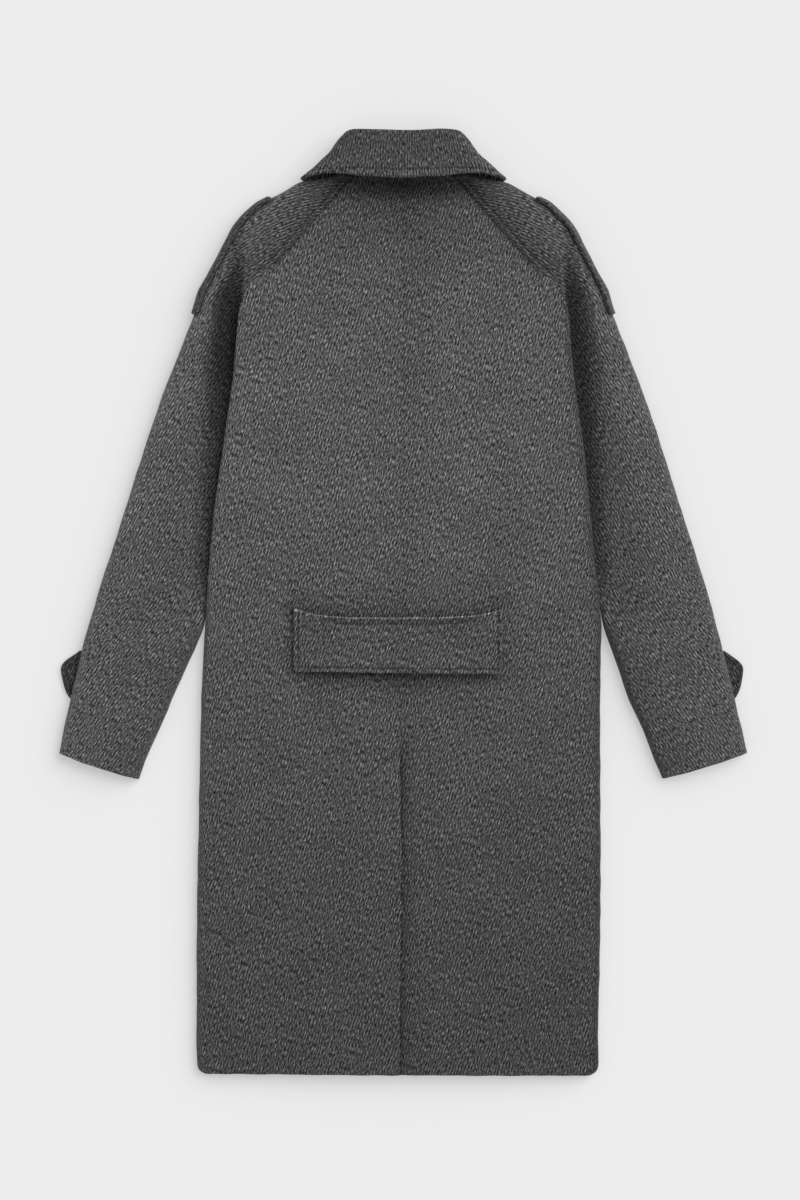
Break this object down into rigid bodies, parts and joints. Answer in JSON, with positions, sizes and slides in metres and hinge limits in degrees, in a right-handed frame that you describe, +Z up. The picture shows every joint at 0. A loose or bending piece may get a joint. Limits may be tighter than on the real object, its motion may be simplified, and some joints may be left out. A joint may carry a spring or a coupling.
{
  "type": "wool overcoat",
  "caption": "Brushed-wool raglan overcoat laid flat and face down, with turned-down collar, shoulder straps, cuff tabs, half-belt and centre-back vent.",
  "frame": {"origin": "centre of the coat's box, on the surface that it lies on", "axes": "+Y from the hem towards the collar, +Z up out of the coat's back, +X towards the wearer's right"},
  "size_m": [0.874, 1.202, 0.0348],
  "materials": {
    "charcoal_wool": "brushed twill wool, charcoal grey with light streaks, matt with a soft nap"
  },
  "bodies": {
    "root": {"back_left": "charcoal_wool", "back_right": "charcoal_wool", "front_left": "charcoal_wool", "front_right": "charcoal_wool", "sleeve_back_left": "charcoal_wool", "sleeve_back_right": "charcoal_wool", "sleeve_front_left": "charcoal_wool", "sleeve_front_right": "charcoal_wool", "collar": "charcoal_wool", "epaulette_left": "charcoal_wool", "epaulette_right": "charcoal_wool", "cuff_tab_left": "charcoal_wool", "cuff_tab_right": "charcoal_wool", "half_belt": "charcoal_wool"}
  },
  "joints": []
}
